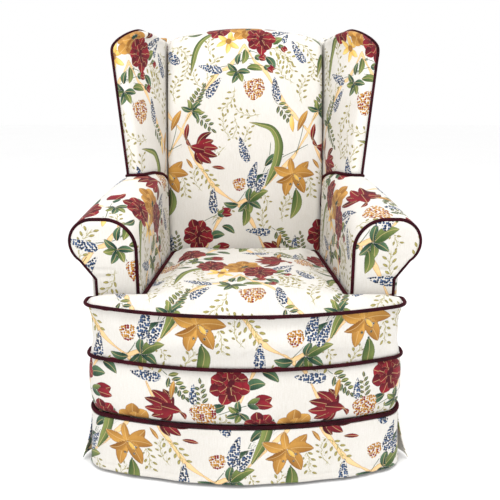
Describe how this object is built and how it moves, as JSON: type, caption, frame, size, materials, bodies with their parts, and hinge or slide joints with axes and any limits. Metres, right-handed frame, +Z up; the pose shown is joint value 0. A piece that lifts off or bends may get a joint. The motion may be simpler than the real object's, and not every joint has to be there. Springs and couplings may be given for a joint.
{
  "type": "upholstered armchair",
  "caption": "Wing armchair with scroll arms, loose T-shaped seat cushion, tailored skirt and contrast piping, over a wooden frame.",
  "frame": {"origin": "on the floor at the centre of the chair's plan", "axes": "-Y is the way the chair faces, +X is to the right seen from the front, +Z is up"},
  "size_m": [0.812, 0.8097, 1.066],
  "materials": {
    "floral_cloth": "woven tapestry cloth, ecru ground with a multicolour floral pattern",
    "velvet_piping": "dark burgundy velvet over cord",
    "wood": "planed beech, unfinished",
    "steel": "bright drawn wire",
    "zip_metal": "satin",
    "glide": "moulded nylon",
    "webbing": "coarse jute",
    "black_cloth": "thin black cambric",
    "zip_tape": "woven tape",
    "foam": "cut foam"
  },
  "bodies": {
    "root": {"front_rail": "wood", "rear_rail": "wood", "side_rail_left": "wood", "side_rail_right": "wood", "corner_blocks": "wood", "corner_block_screws": "steel", "front_legs": "wood", "glides": "glide", "back_post_left": "wood", "back_post_right": "wood", "crest_rail": "wood", "tacking_rail": "wood", "arm_stump_left": "wood", "arm_stump_right": "wood", "arm_board_left": "wood", "arm_board_right": "wood", "wing_post_left": "wood", "wing_post_right": "wood", "wing_rail_left": "wood", "wing_rail_right": "wood", "seat_springs": "steel", "spring_clips": "steel", "seat_deck": "floral_cloth", "back_webbing": "webbing", "dust_cover": "black_cloth", "inside_back": "floral_cloth", "outside_back": "floral_cloth", "wing_left": "floral_cloth", "wing_right": "floral_cloth", "outside_wing_left": "floral_cloth", "outside_wing_right": "floral_cloth", "arm_left": "floral_cloth", "arm_right": "floral_cloth", "arm_facing_left": "floral_cloth", "arm_facing_right": "floral_cloth", "outside_arm_left": "floral_cloth", "outside_arm_right": "floral_cloth", "front_border": "floral_cloth", "skirt_front": "floral_cloth", "skirt_left": "floral_cloth", "skirt_right": "floral_cloth", "skirt_back": "floral_cloth", "kick_pleats": "floral_cloth", "wing_piping_left": "velvet_piping", "wing_piping_right": "velvet_piping", "arm_joint_piping_left": "velvet_piping", "arm_joint_piping_right": "velvet_piping", "facing_piping_left": "velvet_piping", "facing_piping_right": "velvet_piping", "base_piping": "velvet_piping"},
    "cushion": {"cushion_core": "foam", "cushion_cover": "floral_cloth", "cushion_piping_top": "velvet_piping", "cushion_piping_bottom": "velvet_piping", "cushion_zip_tape": "zip_tape"},
    "zip_slider": {"cushion_zip_slider": "zip_metal"}
  },
  "joints": [
    {"name": "cushion_lift", "type": "slide", "parent": "root", "child": "cushion", "axis": [0, 0, 1], "range_m": [0, 0.8]},
    {"name": "zip_slide", "type": "slide", "parent": "cushion", "child": "zip_slider", "axis": [1, 0, 0], "range_m": [-0.37, 0]}
  ]
}
